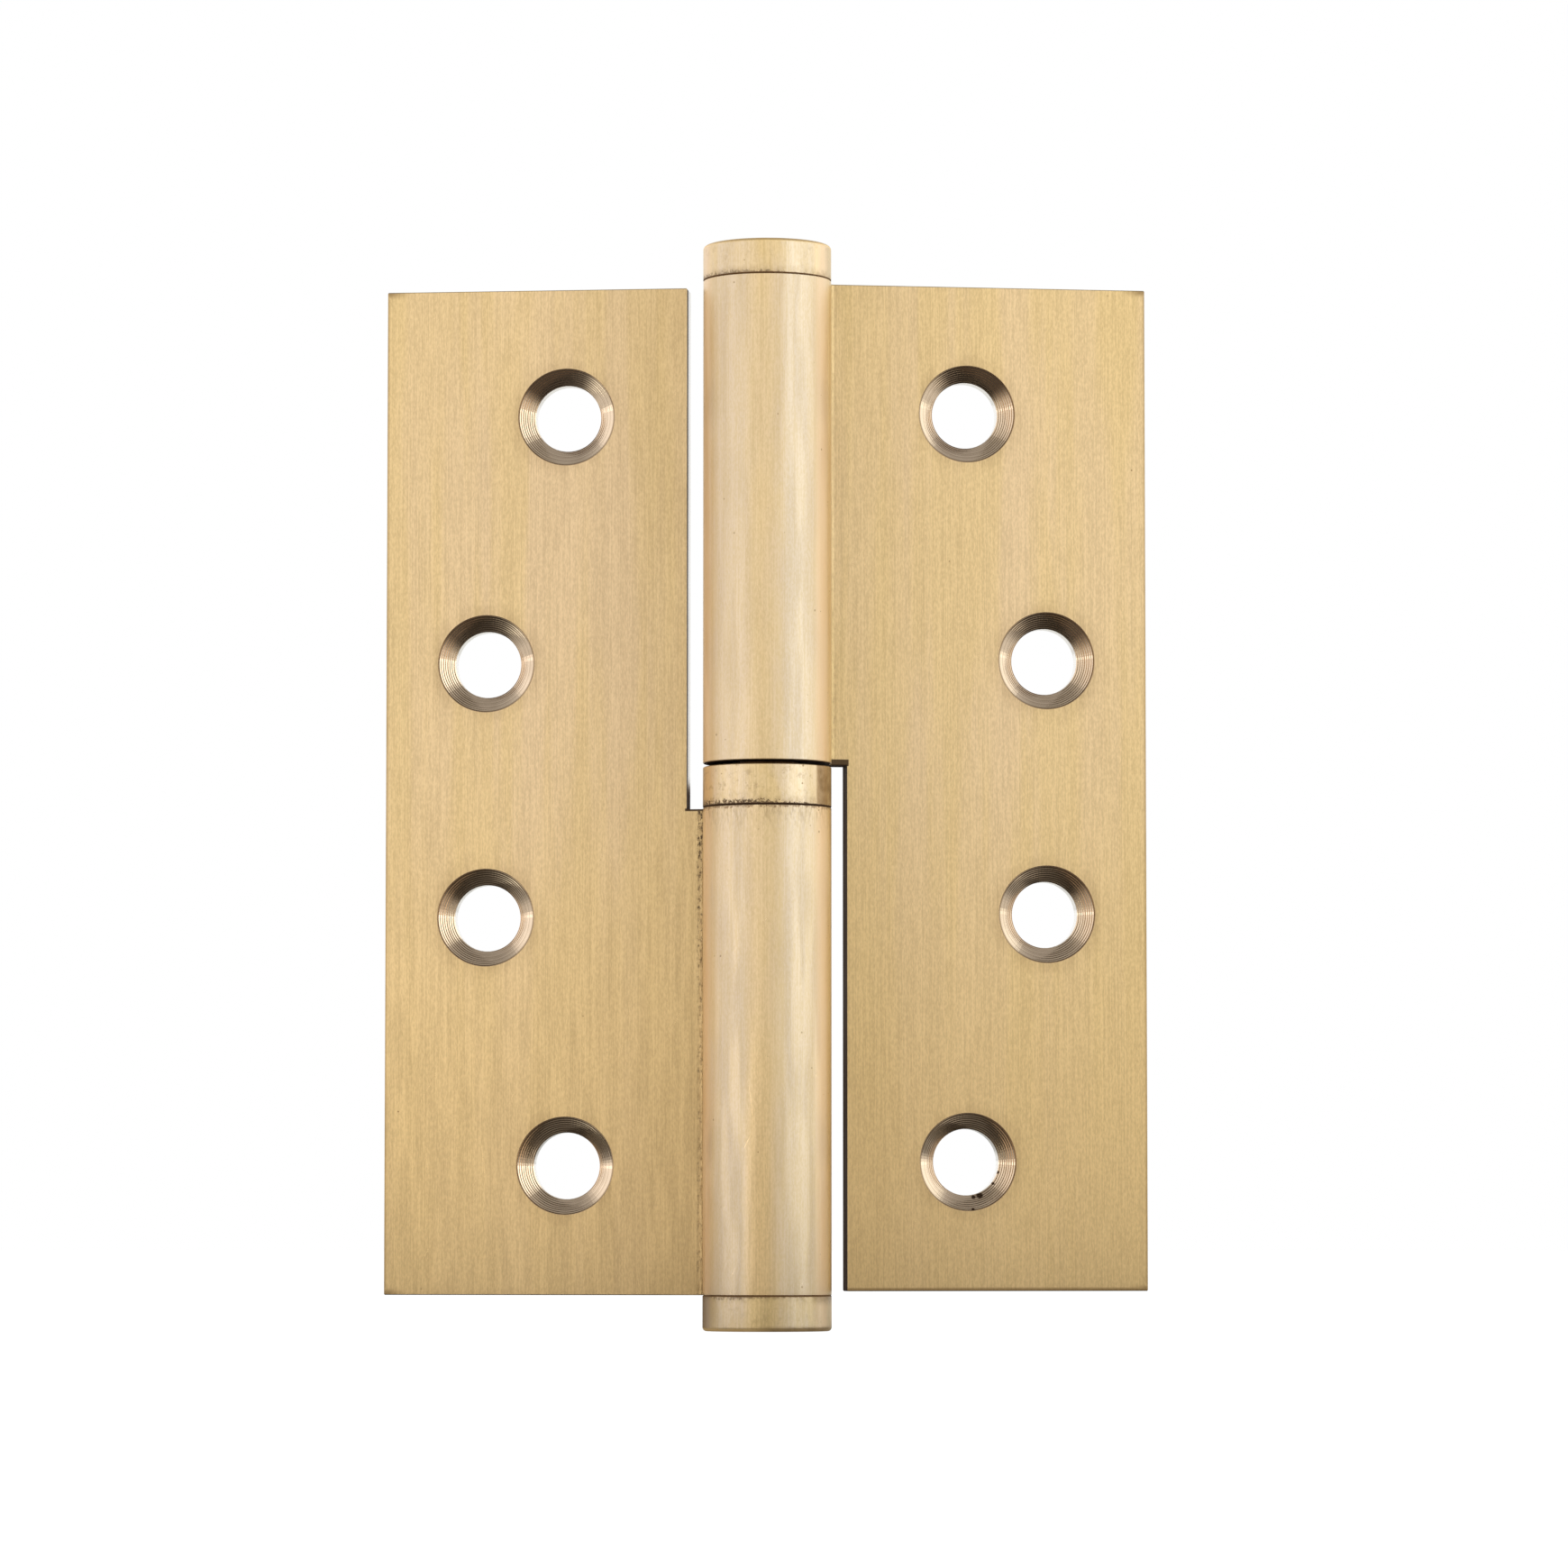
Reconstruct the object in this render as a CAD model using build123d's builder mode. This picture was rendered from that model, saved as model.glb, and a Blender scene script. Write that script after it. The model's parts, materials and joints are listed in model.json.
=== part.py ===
"""Lift-off butt hinge in satin brass: two knuckled leaves, a pin, a bearing ring and two caps.

Millimetres, +Z up along the pin. The lower leaf is screwed to the door frame and carries the pin;
the upper leaf is screwed to the door and lifts off. The origin is midway between the lower leaf's
two near screws, on its mounting face, and -Y looks out of the countersunk faces.
"""
import os

from build123d import *

# Leaves
leaf_height = 100.0
leaf_reach = 38.3  # from the pin axis to the outer edge
leaf_thickness = 3.0
leaf_setback = 1.0  # from the pin axis back to the countersunk face
leaf_edge_radius = 0.4
crease_radius = 0.6  # where the leaf runs into its knuckle
notch_clearance = 1.8  # beside the other leaf's knuckle
rest_fold = 14.3  # degrees that the upper leaf stands behind flat

# Knuckles, pin and bearing ring
barrel_diameter = 12.7
ring_height = 4.0
lift_gap = 0.38  # the upper leaf stands this far off the ring
pin_diameter = 7.0
pin_nose_radius = 1.5
pin_foot_chamfer = 0.5
pin_end_gap = 2.0  # between each end of the pin and the cap's stem
running_clearance = 0.05  # radial, around the pin
press_interference = 0.01  # radial, where pin and caps are pressed in
seam_chamfer = 0.08

# Button caps
cap_height = 3.5
cap_edge_radius = 0.4
cap_stem_length = 8.0
cap_stem_chamfer = 0.5

# Screw holes, in a zigzag of two near the knuckle and two far from it
screw_hole_diameter = 6.6
countersink_diameter = 9.7
countersink_angle = 90.0
near_screw_reach = 20.25  # from the pin axis
far_screw_reach = 28.25
near_screw_spacing = 74.5  # along the pin
far_screw_spacing = 25.3

# Sizes that follow
barrel_radius = barrel_diameter / 2
knuckle_length = (leaf_height - ring_height) / 2
knuckle_end = leaf_height / 2
mounting_face = leaf_setback + leaf_thickness
notch_reach = barrel_radius + notch_clearance
free_bore = pin_diameter + 2 * running_clearance
press_bore = pin_diameter - 2 * press_interference
pin_foot = cap_stem_length + pin_end_gap - knuckle_end
pin_length = 2 * (knuckle_end - cap_stem_length - pin_end_gap)
screw_places = [
    (near_screw_reach, -near_screw_spacing / 2),
    (far_screw_reach, -far_screw_spacing / 2),
    (far_screw_reach, far_screw_spacing / 2),
    (near_screw_reach, near_screw_spacing / 2),
]

# Both leaves are drawn on a plane at the pin: x out along the leaf, y to its mounting face and
# z towards its capped knuckle end, so the lower one is the same piece turned end for end.
pin_plane = Plane(origin=(near_screw_reach, -mounting_face, 0))
lower_place = pin_plane.rotated((0, 180, 0))
upper_place = pin_plane.offset(lift_gap).rotated((0, 0, rest_fold))


def along(place):
    """The axis that runs up a place's own z direction."""
    return Axis(place.origin, place.z_dir)


def knuckled_leaf(place, bore_diameter):
    """One extruded leaf and knuckle, notched beside the other knuckle, bored and countersunk."""
    leaf_end = place.offset(-leaf_height / 2)
    screw_face = Plane(place.from_local_coords((0, leaf_setback, 0)), place.x_dir, -place.y_dir)
    outward = Axis(place.origin, place.x_dir)

    with BuildPart() as leaf:
        # The extruded section: a flat leaf that runs into a round knuckle
        with BuildSketch(leaf_end) as section:
            Circle(barrel_radius)
            with Locations((0, leaf_setback)):
                Rectangle(leaf_reach, leaf_thickness, align=Align.MIN)
            mounting_corners = section.vertices().group_by(Axis.Y)[-1].sort_by(Axis.X)
            screw_corners = section.vertices().group_by(Axis.Y)[-2].sort_by(Axis.X)
            fillet([mounting_corners[0], screw_corners[0]], crease_radius)
            fillet([mounting_corners[-1], screw_corners[-1]], leaf_edge_radius)
        extrude(amount=leaf_height)

        # Room for the other leaf's knuckle and the ring
        with BuildSketch(leaf_end):
            Rectangle(2 * notch_reach, 2 * notch_reach)
        extrude(amount=leaf_height - knuckle_length, mode=Mode.SUBTRACT)

        # Sawn ends have their edges broken
        far_end, knuckle_root, capped_end = leaf.faces().filter_by(along(place)).sort_by(along(place))
        open_root = knuckle_root.edges().sort_by(outward)[:-1]
        chamfer(far_end.edges() + open_root + capped_end.edges(), seam_chamfer)

        # The bore for the pin and the cap's stem
        with Locations(place.offset(knuckle_end)):
            Hole(bore_diameter / 2, knuckle_length)

        # The screw holes
        with Locations(screw_face):
            with Locations(*screw_places):
                CounterSinkHole(
                    screw_hole_diameter / 2,
                    countersink_diameter / 2,
                    leaf_thickness,
                    countersink_angle,
                )
    return leaf.part


def button_cap(place, bore_diameter):
    """A turned button that closes a knuckle, with a stem pressed into the bore."""
    seat = place.offset(knuckle_end)
    with BuildPart() as cap:
        with BuildSketch(seat):
            Circle(barrel_radius)
        extrude(amount=cap_height)
        underside, top = cap.faces().filter_by(GeomType.PLANE).sort_by(along(place))
        fillet(top.edges(), cap_edge_radius)
        chamfer(underside.edges(), seam_chamfer)
        with BuildSketch(seat):
            Circle(bore_diameter / 2 + press_interference)
        extrude(amount=-cap_stem_length)
        stem_tip = cap.faces().filter_by(GeomType.PLANE).sort_by(along(place))[0]
        chamfer(stem_tip.edges(), cap_stem_chamfer)
    return cap.part


# Frame leaf, which holds the pin
lower_leaf = knuckled_leaf(lower_place, press_bore)
lower_leaf.label = "lower_leaf"

# Door leaf, which runs on the pin
upper_leaf = knuckled_leaf(upper_place, free_bore)
upper_leaf.label = "upper_leaf"

# Pin, with a round nose that leads the door leaf on
with BuildPart() as hinge_pin:
    with BuildSketch(pin_plane.offset(pin_foot)):
        Circle(pin_diameter / 2)
    extrude(amount=pin_length)
    foot, nose = hinge_pin.faces().filter_by(GeomType.PLANE).sort_by(Axis.Z)
    chamfer(foot.edges(), pin_foot_chamfer)
    fillet(nose.edges(), pin_nose_radius)
hinge_pin.part.label = "hinge_pin"

# Bearing ring between the knuckles
with BuildPart() as bearing_ring:
    with BuildSketch(pin_plane.offset(-ring_height / 2)):
        Circle(barrel_radius)
        Circle(free_bore / 2, mode=Mode.SUBTRACT)
    extrude(amount=ring_height)
    rims = bearing_ring.edges().filter_by(GeomType.CIRCLE).group_by(SortBy.RADIUS)[-1]
    chamfer(rims, seam_chamfer)
bearing_ring.part.label = "bearing_ring"

# Button caps, each pressed into its own knuckle's bore
bottom_cap = button_cap(lower_place, press_bore)
bottom_cap.label = "bottom_cap"
top_cap = button_cap(upper_place, free_bore)
top_cap.label = "top_cap"

os.makedirs("parts", exist_ok=True)
for piece in (lower_leaf, upper_leaf, hinge_pin.part, bearing_ring.part, bottom_cap, top_cap):
    export_step(piece, f"parts/{piece.label}.step")
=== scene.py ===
"""Satin brass lift-off hinge: finishes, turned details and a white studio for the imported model.

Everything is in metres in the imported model's own frame. Finishes are drawn in millimetres: about
the pin on the turned pieces, and on each leaf at a place on the pin, with x out along the leaf,
y to its mounting face and z towards its capped knuckle end.
"""
import json
import math

import bmesh
import bpy
from bpy.props import FloatProperty, FloatVectorProperty, IntProperty, PointerProperty
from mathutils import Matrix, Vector


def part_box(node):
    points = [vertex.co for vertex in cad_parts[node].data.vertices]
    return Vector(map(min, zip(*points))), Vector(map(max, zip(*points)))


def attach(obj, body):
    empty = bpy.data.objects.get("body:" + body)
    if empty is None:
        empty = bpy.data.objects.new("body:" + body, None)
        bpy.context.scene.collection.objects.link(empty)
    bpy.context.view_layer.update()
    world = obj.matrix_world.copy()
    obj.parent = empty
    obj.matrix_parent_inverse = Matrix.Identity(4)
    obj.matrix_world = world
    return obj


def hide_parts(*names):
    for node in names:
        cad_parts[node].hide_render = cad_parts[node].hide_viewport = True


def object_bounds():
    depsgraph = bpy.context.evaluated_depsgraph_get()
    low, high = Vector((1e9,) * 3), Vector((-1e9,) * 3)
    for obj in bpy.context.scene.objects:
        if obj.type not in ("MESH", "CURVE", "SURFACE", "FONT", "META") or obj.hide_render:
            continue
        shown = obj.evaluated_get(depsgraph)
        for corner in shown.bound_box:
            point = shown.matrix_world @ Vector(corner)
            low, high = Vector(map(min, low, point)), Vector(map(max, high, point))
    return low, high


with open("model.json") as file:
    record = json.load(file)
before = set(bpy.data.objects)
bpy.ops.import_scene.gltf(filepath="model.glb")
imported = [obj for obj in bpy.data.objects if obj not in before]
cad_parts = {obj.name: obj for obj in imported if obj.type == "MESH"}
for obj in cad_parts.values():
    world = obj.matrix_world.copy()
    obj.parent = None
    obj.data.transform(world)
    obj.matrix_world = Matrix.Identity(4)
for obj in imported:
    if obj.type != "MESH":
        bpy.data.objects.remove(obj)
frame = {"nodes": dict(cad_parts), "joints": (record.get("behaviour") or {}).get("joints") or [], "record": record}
cad_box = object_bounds()

bl_info = {
    "name": "Lift-off Hinge",
    "version": (1, 0, 0),
    "blender": (4, 5, 0),
    "location": "View3D > Sidebar > Hinge",
    "description": "Dresses a brass lift-off hinge and sets it in a white studio",
    "category": "Object",
}

MM = 0.001
FULL_TURN = 2 * math.pi
WHITE = (1.0, 1.0, 1.0, 1.0)
BLACK = (0.0, 0.0, 0.0, 1.0)
ACROSS_PIN = (1.0, 1.0, 0.0)  # leaves the part of a vector that is square to the pin
SMOOTH_BELOW = math.radians(28)  # facets that meet at less are shaded as one
CLOSE_PITS, SPARSE_PITS = (0.8, 0.12), (2.3, 0.14)  # spacing and size, in millimetres

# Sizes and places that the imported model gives
mounts = {mount["name"]: mount for mount in frame["record"]["mounts"]}
joints = {joint["name"]: joint for joint in frame["joints"]}
pin_axis = Vector(joints["leaf_swing"]["pos_m"])
ring_low, ring_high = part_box("bearing_ring")
top_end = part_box("top_cap")[1].z
bottom_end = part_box("bottom_cap")[0].z
lower_low, lower_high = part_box("lower_leaf")
upper_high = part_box("upper_leaf")[1]
barrel_radius = (ring_high.x - ring_low.x) / 2
door_normal = Vector(mounts["door_face"]["axis"])
rest_fold = math.atan2(-door_normal.x, door_normal.y)
lift_gap = upper_high.z - lower_high.z
pin_to_mounting_face = -pin_axis.y

# Where each finish is drawn: origin and turn
pin_place = (pin_axis, (0.0, 0.0, 0.0))
frame_place = (pin_axis, (0.0, math.pi, 0.0))
door_place = (pin_axis + Vector((0.0, 0.0, lift_gap)), (0.0, 0.0, rest_fold))

# The same sizes in a finish's millimetres
barrel = barrel_radius / MM
ring_edge = ring_high.z / MM
leaf_end = lower_high.z / MM
leaf_edge = (pin_axis.x - lower_low.x) / MM
crease_point = (6.6, 0.9, 0.0)  # where a leaf's face runs into its knuckle

# Crumbs in the door leaf's lowest countersink: out and up from its middle, and their reach
crumb_offsets = (
    (1.35, -3.3, 0.55), (0.7, -3.45, 0.35), (3.2, -1.0, 0.3), (2.7, -2.1, 0.3), (0.5, -4.7, 0.25))


def length_property(name, description, default):
    """A length that a user can change."""
    return FloatProperty(
        name=name, description=description, default=default, unit="LENGTH", precision=6)


def colour_property(name, description, default):
    """A colour that a user can change."""
    return FloatVectorProperty(
        name=name, description=description, default=(*default, 1.0), subtype="COLOR", size=4)


def power_property(name, description, default):
    """A lamp's power that a user can change."""
    return FloatProperty(name=name, description=description, default=default, unit="POWER")


class HingeSizes(bpy.types.PropertyGroup):
    """Sizes of the turned details."""
    cap_edge_radius: length_property(
        "Cap Edge Radius", "Round on the outer edge of each button cap", 0.4 * MM)
    seam_chamfer: length_property(
        "Seam Chamfer", "Broken edge on each side of a barrel seam", 0.08 * MM)
    stem_chamfer: length_property("Stem Chamfer", "Lead on the tip of a cap's stem", 0.5 * MM)
    cap_stem_length: length_property(
        "Cap Stem Length", "How far a cap's stem reaches into its knuckle", 8.0 * MM)
    pin_radius: length_property("Pin Radius", "Radius of the pin, which the bores follow", 3.5 * MM)
    running_clearance: length_property(
        "Running Clearance", "Radial room between the pin and a bore that turns on it", 0.05 * MM)
    screw_hole_radius: length_property(
        "Screw Hole Radius", "Radius of the screw holes",
        mounts["frame_outer_screws"]["dims"]["hole_r_mm"] * MM)
    countersink_radius: length_property(
        "Countersink Radius", "Radius of a countersink at the leaf's face", 4.85 * MM)
    leaf_thickness: length_property("Leaf Thickness", "Thickness of the flat of a leaf", 3.0 * MM)
    near_reach: length_property(
        "Near Screw Reach", "From the pin axis to the screws near the knuckle",
        pin_axis.x - mounts["frame_outer_screws"]["pos_m"][0])
    far_reach: length_property(
        "Far Screw Reach", "From the pin axis to the screws near the leaf's edge",
        pin_axis.x - mounts["frame_middle_screws"]["pos_m"][0])
    near_spacing: length_property(
        "Near Screw Spacing", "Between the two screws near the knuckle",
        mounts["frame_outer_screws"]["dims"]["spacing_y_mm"] * MM)
    far_spacing: length_property(
        "Far Screw Spacing", "Between the two screws near the leaf's edge",
        mounts["frame_middle_screws"]["dims"]["spacing_y_mm"] * MM)
    notch_reach: length_property(
        "Notch Reach", "From the pin axis to the wall of the sawn notch", 8.15 * MM)
    turning_pitch: length_property(
        "Turning Pitch", "Between two tool marks on a turned face", 0.26 * MM)
    turning_depth: length_property(
        "Turning Depth", "Depth of a tool mark on a turned face", 0.018 * MM)
    skin: length_property(
        "Skin", "How far the cut face of a countersink stands off the leaf's facets", 0.03 * MM)
    segments: IntProperty(
        name="Segments", description="Facets around the ring and the caps", default=160, min=24)
    countersink_segments: IntProperty(
        name="Countersink Segments", description="Facets around a countersink", default=96, min=24)


class BrassFinish(bpy.types.PropertyGroup):
    """Colours and grain of the metal."""
    brass: colour_property(
        "Brass", "Troughs of the brushed grain on the flats", (0.53, 0.376, 0.157))
    light_brass: colour_property(
        "Light Brass", "Crests of the brushed grain on the flats", (0.695, 0.498, 0.222))
    rose_brass: colour_property("Rose Brass", "Pinkish drift in the metal", (0.625, 0.452, 0.285))
    # Painted sheen: the paler tone painted across the barrel's front
    pale_brass: colour_property(
        "Pale Brass", "Barrel rubbed pale by handling", (0.63, 0.492, 0.335))
    # Painted shade: darker, ruddier brass painted towards the foot
    low_brass: colour_property("Low Brass", "Ruddier brass towards the foot", (0.55, 0.368, 0.166))
    # Painted highlight: the palest tone, painted in stripes beside the barrel's front
    sheen_brass: colour_property(
        "Sheen Brass", "Barrel rubbed palest, beside its front", (0.67, 0.555, 0.425))
    cut_brass: colour_property("Cut Brass", "Bare metal in the countersinks", (0.82, 0.645, 0.47))
    # Bare metal, its colour painted near white for the white it reflects
    bright_brass: colour_property(
        "Bright Brass", "Sawn walls and screw holes that mirror the light", (0.90, 0.87, 0.80))
    # Painted shade on the upper side of a countersink
    upper_shade_brass: colour_property(
        "Dull Brass", "Dulled upper side of a countersink", (0.10, 0.07, 0.048))
    # Browned metal, and the colour of painted shade in the crease and towards the knuckle
    tarnish_and_shade: colour_property(
        "Tarnish", "Browned metal in creases and on sawn edges", (0.20, 0.12, 0.05))
    seam_brown: colour_property(
        "Seam Brown", "Browned metal in the seams of the barrel", (0.15, 0.075, 0.027))
    # Deposits and grease, and the colour of painted shade on the notch wall, along its root and in the gap by the
    # ring
    grime_and_shade: colour_property(
        "Grime", "Polish residue and grease caught in the seams", (0.055, 0.026, 0.011))
    steel: colour_property("Steel", "Ground steel of the pin", (0.56, 0.56, 0.55))
    dark_steel: colour_property("Dark Steel", "Grinding rings in the steel", (0.42, 0.42, 0.42))
    grain_width: FloatProperty(
        name="Grain Width", description="Across one streak of the brushing, in millimetres",
        default=0.13, min=0.01)
    grain_length: FloatProperty(
        name="Grain Length", description="Along one streak of the brushing, in millimetres",
        default=3.0, min=0.1)


class StudioSet(bpy.types.PropertyGroup):
    """Camera, lamps and floor."""
    camera_place: FloatVectorProperty(
        name="Camera Place", description="Where the camera stands",
        subtype="TRANSLATION", default=(0.09226, -0.64721, -0.04398), precision=5)
    camera_target: FloatVectorProperty(
        name="Camera Target", description="Point in the middle of the picture",
        subtype="TRANSLATION", default=(0.021904, -0.003819, 0.000373), precision=6)
    focal_length: FloatProperty(
        name="Focal Length", description="Lens, in millimetres", default=150.75)
    sensor_width: FloatProperty(
        name="Sensor Width", description="Width of the sensor, in millimetres", default=36.0)
    left_watts: power_property("Left Softbox", "Power of the wide softbox on the left", 2.44)
    right_watts: power_property("Right Softbox", "Power of the wide softbox on the right", 5.0)
    strip_watts: power_property(
        "Strips", "Power of the right strip, which the strips behind follow", 0.3)
    low_watts: power_property(
        "Low Strips", "Power of the left strip near the floor, twice the right one's", 0.3)
    top_watts: power_property("Top Softbox", "Power of the softbox above the camera", 1.1)
    left_colour: colour_property(
        "Left Colour", "Tint of the lamps on the left", (0.98, 0.965, 0.97))
    right_colour: colour_property(
        "Right Colour", "Tint of the lamps on the right", (0.92, 1.0, 0.97))
    strip_colour: colour_property(
        "Strip Colour", "Daylight tint of the right strip", (0.85, 0.93, 1.0))
    floor_colour: colour_property("Floor Colour", "Plain pale floor", (0.90, 0.89, 0.87))
    floor_reach: length_property("Floor Reach", "From the middle of the floor to each side", 3.0)


class Value:
    """What a node puts out, ready for plain arithmetic."""

    def __init__(self, socket):
        self.socket, self.tree = socket, socket.id_data

    def __add__(self, other):
        return maths("ADD", self, other)

    def __sub__(self, other):
        return maths("SUBTRACT", self, other)

    def __rsub__(self, other):
        return maths("SUBTRACT", other, self)

    def __mul__(self, other):
        return maths("MULTIPLY", self, other)

    def __truediv__(self, other):
        return maths("DIVIDE", self, other)

    def __rtruediv__(self, other):
        return maths("DIVIDE", other, self)

    def __abs__(self):
        return maths("ABSOLUTE", self)


def node(tree, kind, inputs=None, **settings):
    """A new node with its settings made and its inputs set or linked."""
    made = tree.nodes.new(kind)
    for name, value in settings.items():
        setattr(made, name, value)
    for socket, value in (inputs or {}).items():
        if isinstance(value, Value):
            tree.links.new(value.socket, made.inputs[socket])
        else:
            made.inputs[socket].default_value = value
    return made


def out_of(tree, kind, inputs=None, socket=0, **settings):
    """One output of a new node."""
    return Value(node(tree, kind, inputs, **settings).outputs[socket])


def by_name(sockets):
    """A node's outputs by their names."""
    return {socket.name: Value(socket) for socket in sockets}


def maths(operation, *values):
    """The result of a Math node."""
    tree = next(value.tree for value in values if isinstance(value, Value))
    return out_of(tree, "ShaderNodeMath", dict(enumerate(values)), operation=operation)


def most(first, *others):
    """The highest of any number of values."""
    for other in others:
        first = maths("MAXIMUM", first, other)
    return first


def vector_maths(operation, first, second, socket=0):
    """A result of a Vector Math node."""
    inputs = {0: first, 1: second}
    return out_of(first.tree, "ShaderNodeVectorMath", inputs, socket, operation=operation)


def scaled(vector, parts):
    """A vector multiplied part by part."""
    return vector_maths("MULTIPLY", vector, parts)


def distance(first, second=(0.0, 0.0, 0.0)):
    """How far a vector is from another, or from nought."""
    return vector_maths("DISTANCE", first, second, "Value")


def split(vector):
    """The x, y and z of a vector."""
    return [Value(part) for part in node(vector.tree, "ShaderNodeSeparateXYZ", {0: vector}).outputs]


def joined(x, y=0.0, z=0.0):
    """A vector from its parts."""
    return out_of(x.tree, "ShaderNodeCombineXYZ", {0: x, 1: y, 2: z})


def ramp(value, low, high, to_low=0.0, to_high=1.0):
    """A value eased from one range into another."""
    return out_of(
        value.tree, "ShaderNodeMapRange", {0: value, 1: low, 2: high, 3: to_low, 4: to_high},
        interpolation_type="SMOOTHSTEP")


def fade(value, near, far, level=1.0):
    """A level that eases away to nought from near to far."""
    return ramp(value, near, far, level, 0.0)


def mixed(factor, first, second):
    """Two colours mixed by a factor, on the Mix node's colour sockets."""
    return out_of(
        factor.tree, "ShaderNodeMix", {0: factor, 6: first, 7: second}, 2, data_type="RGBA")


def noise(vector, scale, detail=2.0, roughness=0.5):
    """A noise value over a vector."""
    return out_of(vector.tree, "ShaderNodeTexNoise", {
        "Vector": vector, "Scale": scale, "Detail": detail, "Roughness": roughness}, "Fac")


def node_group(name, kind, inputs, outputs):
    """Decorates a function from a group's inputs to its outputs, so that it gives the group itself.

    Inputs and outputs are the types of the named sockets. The group is built once.
    """
    def decorate(fill):
        def give():
            group = bpy.data.node_groups.get(name)
            if group is None:
                group = bpy.data.node_groups.new(name, kind)
                for in_out, sockets in (("INPUT", inputs), ("OUTPUT", outputs)):
                    for label, socket in sockets.items():
                        group.interface.new_socket(
                            name=label, in_out=in_out, socket_type="NodeSocket" + socket)
                given = by_name(group.nodes.new("NodeGroupInput").outputs)
                node(group, "NodeGroupOutput", fill(given))
            return group
        return give
    return decorate


def placed(tree, group, inputs):
    """The outputs of a node group put into a tree with its own values."""
    kind = tree.bl_idname.replace("NodeTree", "NodeGroup")
    return by_name(node(tree, kind, inputs, node_tree=group).outputs)


@node_group("Brushed Grain", "ShaderNodeTree",
            {"Vector": "Vector", "Width": "Float", "Length": "Float"},
            {"Fine": "Float", "Broad": "Float", "Drift": "Float"})
def brushed_grain(given):
    """Fine streaks and broad bands of metal brushed along z."""
    def streaks(length, width, detail=1.0):
        """Noise drawn out along z to a multiple of the streaks' own length and width."""
        across = given["Width"] * width
        drawn = joined(across, across, given["Length"] * length)
        return noise(vector_maths("DIVIDE", given["Vector"], drawn), 1.0, detail)

    # Short granules, middling streaks and long lines, in their shares of the grain
    fine = streaks(0.13, 1.0) * 0.42 + streaks(1.0, 1.0) * 0.27 + streaks(13.0, 1.1) * 0.31
    return {
        "Fine": ramp(fine, 0.34, 0.66),
        "Broad": ramp(streaks(4.0, 9.0, 2.0), 0.3, 0.7),
        "Drift": ramp(streaks(16.0, 22.0, 2.0), 0.33, 0.67),
    }


@node_group("Speckle", "ShaderNodeTree",
            {"Vector": "Vector", "Spacing": "Float", "Size": "Float", "Share": "Float"},
            {"Mask": "Float"})
def speckle(given):
    """Sparse round pits of uneven size."""
    tree = given["Vector"].tree
    cells = by_name(node(tree, "ShaderNodeTexVoronoi", {
        "Vector": given["Vector"], "Scale": 1.0 / given["Spacing"]}).outputs)
    chance, unevenness, _ = [
        Value(part) for part in node(tree, "ShaderNodeSeparateColor", {0: cells["Color"]}).outputs]
    size = given["Size"] * (unevenness + 0.35)
    spot = fade(cells["Distance"] * given["Spacing"], size * 0.45, size)
    return {"Mask": spot * maths("LESS_THAN", chance, given["Share"])}


@node_group("Seam Grime", "ShaderNodeTree",
            {"Vector": "Vector", "Distance": "Float", "Reach": "Float", "Scale": "Float"},
            {"Mask": "Float"})
def seam_grime(given):
    """A ragged deposit that follows a seam."""
    patches = ramp(noise(given["Vector"], given["Scale"] * 0.3, 1.0), 0.15, 0.42)
    ragged = ramp(noise(given["Vector"], given["Scale"], 4.0, 0.75), 0.32, 0.66)
    return {"Mask": ramp(given["Reach"] * patches * ragged - given["Distance"], -0.05, 0.08)}


@node_group("Barrel Wear", "ShaderNodeTree", {"Vector": "Vector", "Radius": "Float"},
            {"Barrel": "Float", "Pale": "Float", "Sheen": "Float", "Flank": "Float"})
def barrel_painted_light(given):
    """Where the barrel is, and the light painted on it, for coordinates about the pin with the front at -y: a
    paler front, darker at its very middle, highlight stripes beside it and lighter flanks.
    """
    x, y, height = split(given["Vector"])
    facing, aside = y / (given["Radius"] * -1.0), x / given["Radius"]
    on_barrel = fade(distance(scaled(given["Vector"], ACROSS_PIN)) - given["Radius"], 0.05, 0.30)
    # Painted light: the front paler but darker at its very middle, highlight stripes right and left of it, and
    # lighter flanks
    front = ramp(height, -45.0, -10.0, 0.15, 0.5)
    pale = ramp(facing, -0.1, 0.6) * ramp(facing, 0.955, 1.0, 1.0, front)
    right = ramp(aside, 0.28, 0.46) * fade(aside, 0.62, 0.92) * ramp(height, -50.0, 12.0, 0.55, 1.0)
    left = ramp(aside, -0.80, -0.62, 0.0, 0.42) * fade(aside, -0.15, 0.03)
    left = left * ramp(height, -50.0, 0.0, 1.4, 1.0)
    sheen = (right + left) * ramp(facing, 0.0, 0.3)
    flank = ramp(facing, 0.64, 0.46) * ramp(facing, 0.15, 0.38)
    return {"Barrel": on_barrel, "Pale": on_barrel * pale, "Sheen": on_barrel * sheen,
            "Flank": on_barrel * flank}


@node_group("Hairlines", "ShaderNodeTree", {"Vector": "Vector", "Angle": "Float"},
            {"Mask": "Float"})
def hairline(given):
    """Faint hairline scratches that cross the grain at an angle."""
    turned = out_of(given["Vector"].tree, "ShaderNodeVectorRotate", {
        "Vector": given["Vector"], "Angle": given["Angle"]}, rotation_type="Y_AXIS")
    return {"Mask": ramp(noise(scaled(turned, (7.0, 2.0, 0.11)), 1.0, 1.0, 0.4), 0.735, 0.80)}


def emptied(owner):
    """The node tree of a new material or world, emptied."""
    owner.use_nodes = True
    owner.node_tree.nodes.clear()
    return owner.node_tree


def new_material(name):
    """An empty material and its tree."""
    material = bpy.data.materials.new(name)
    return material, emptied(material)


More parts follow.
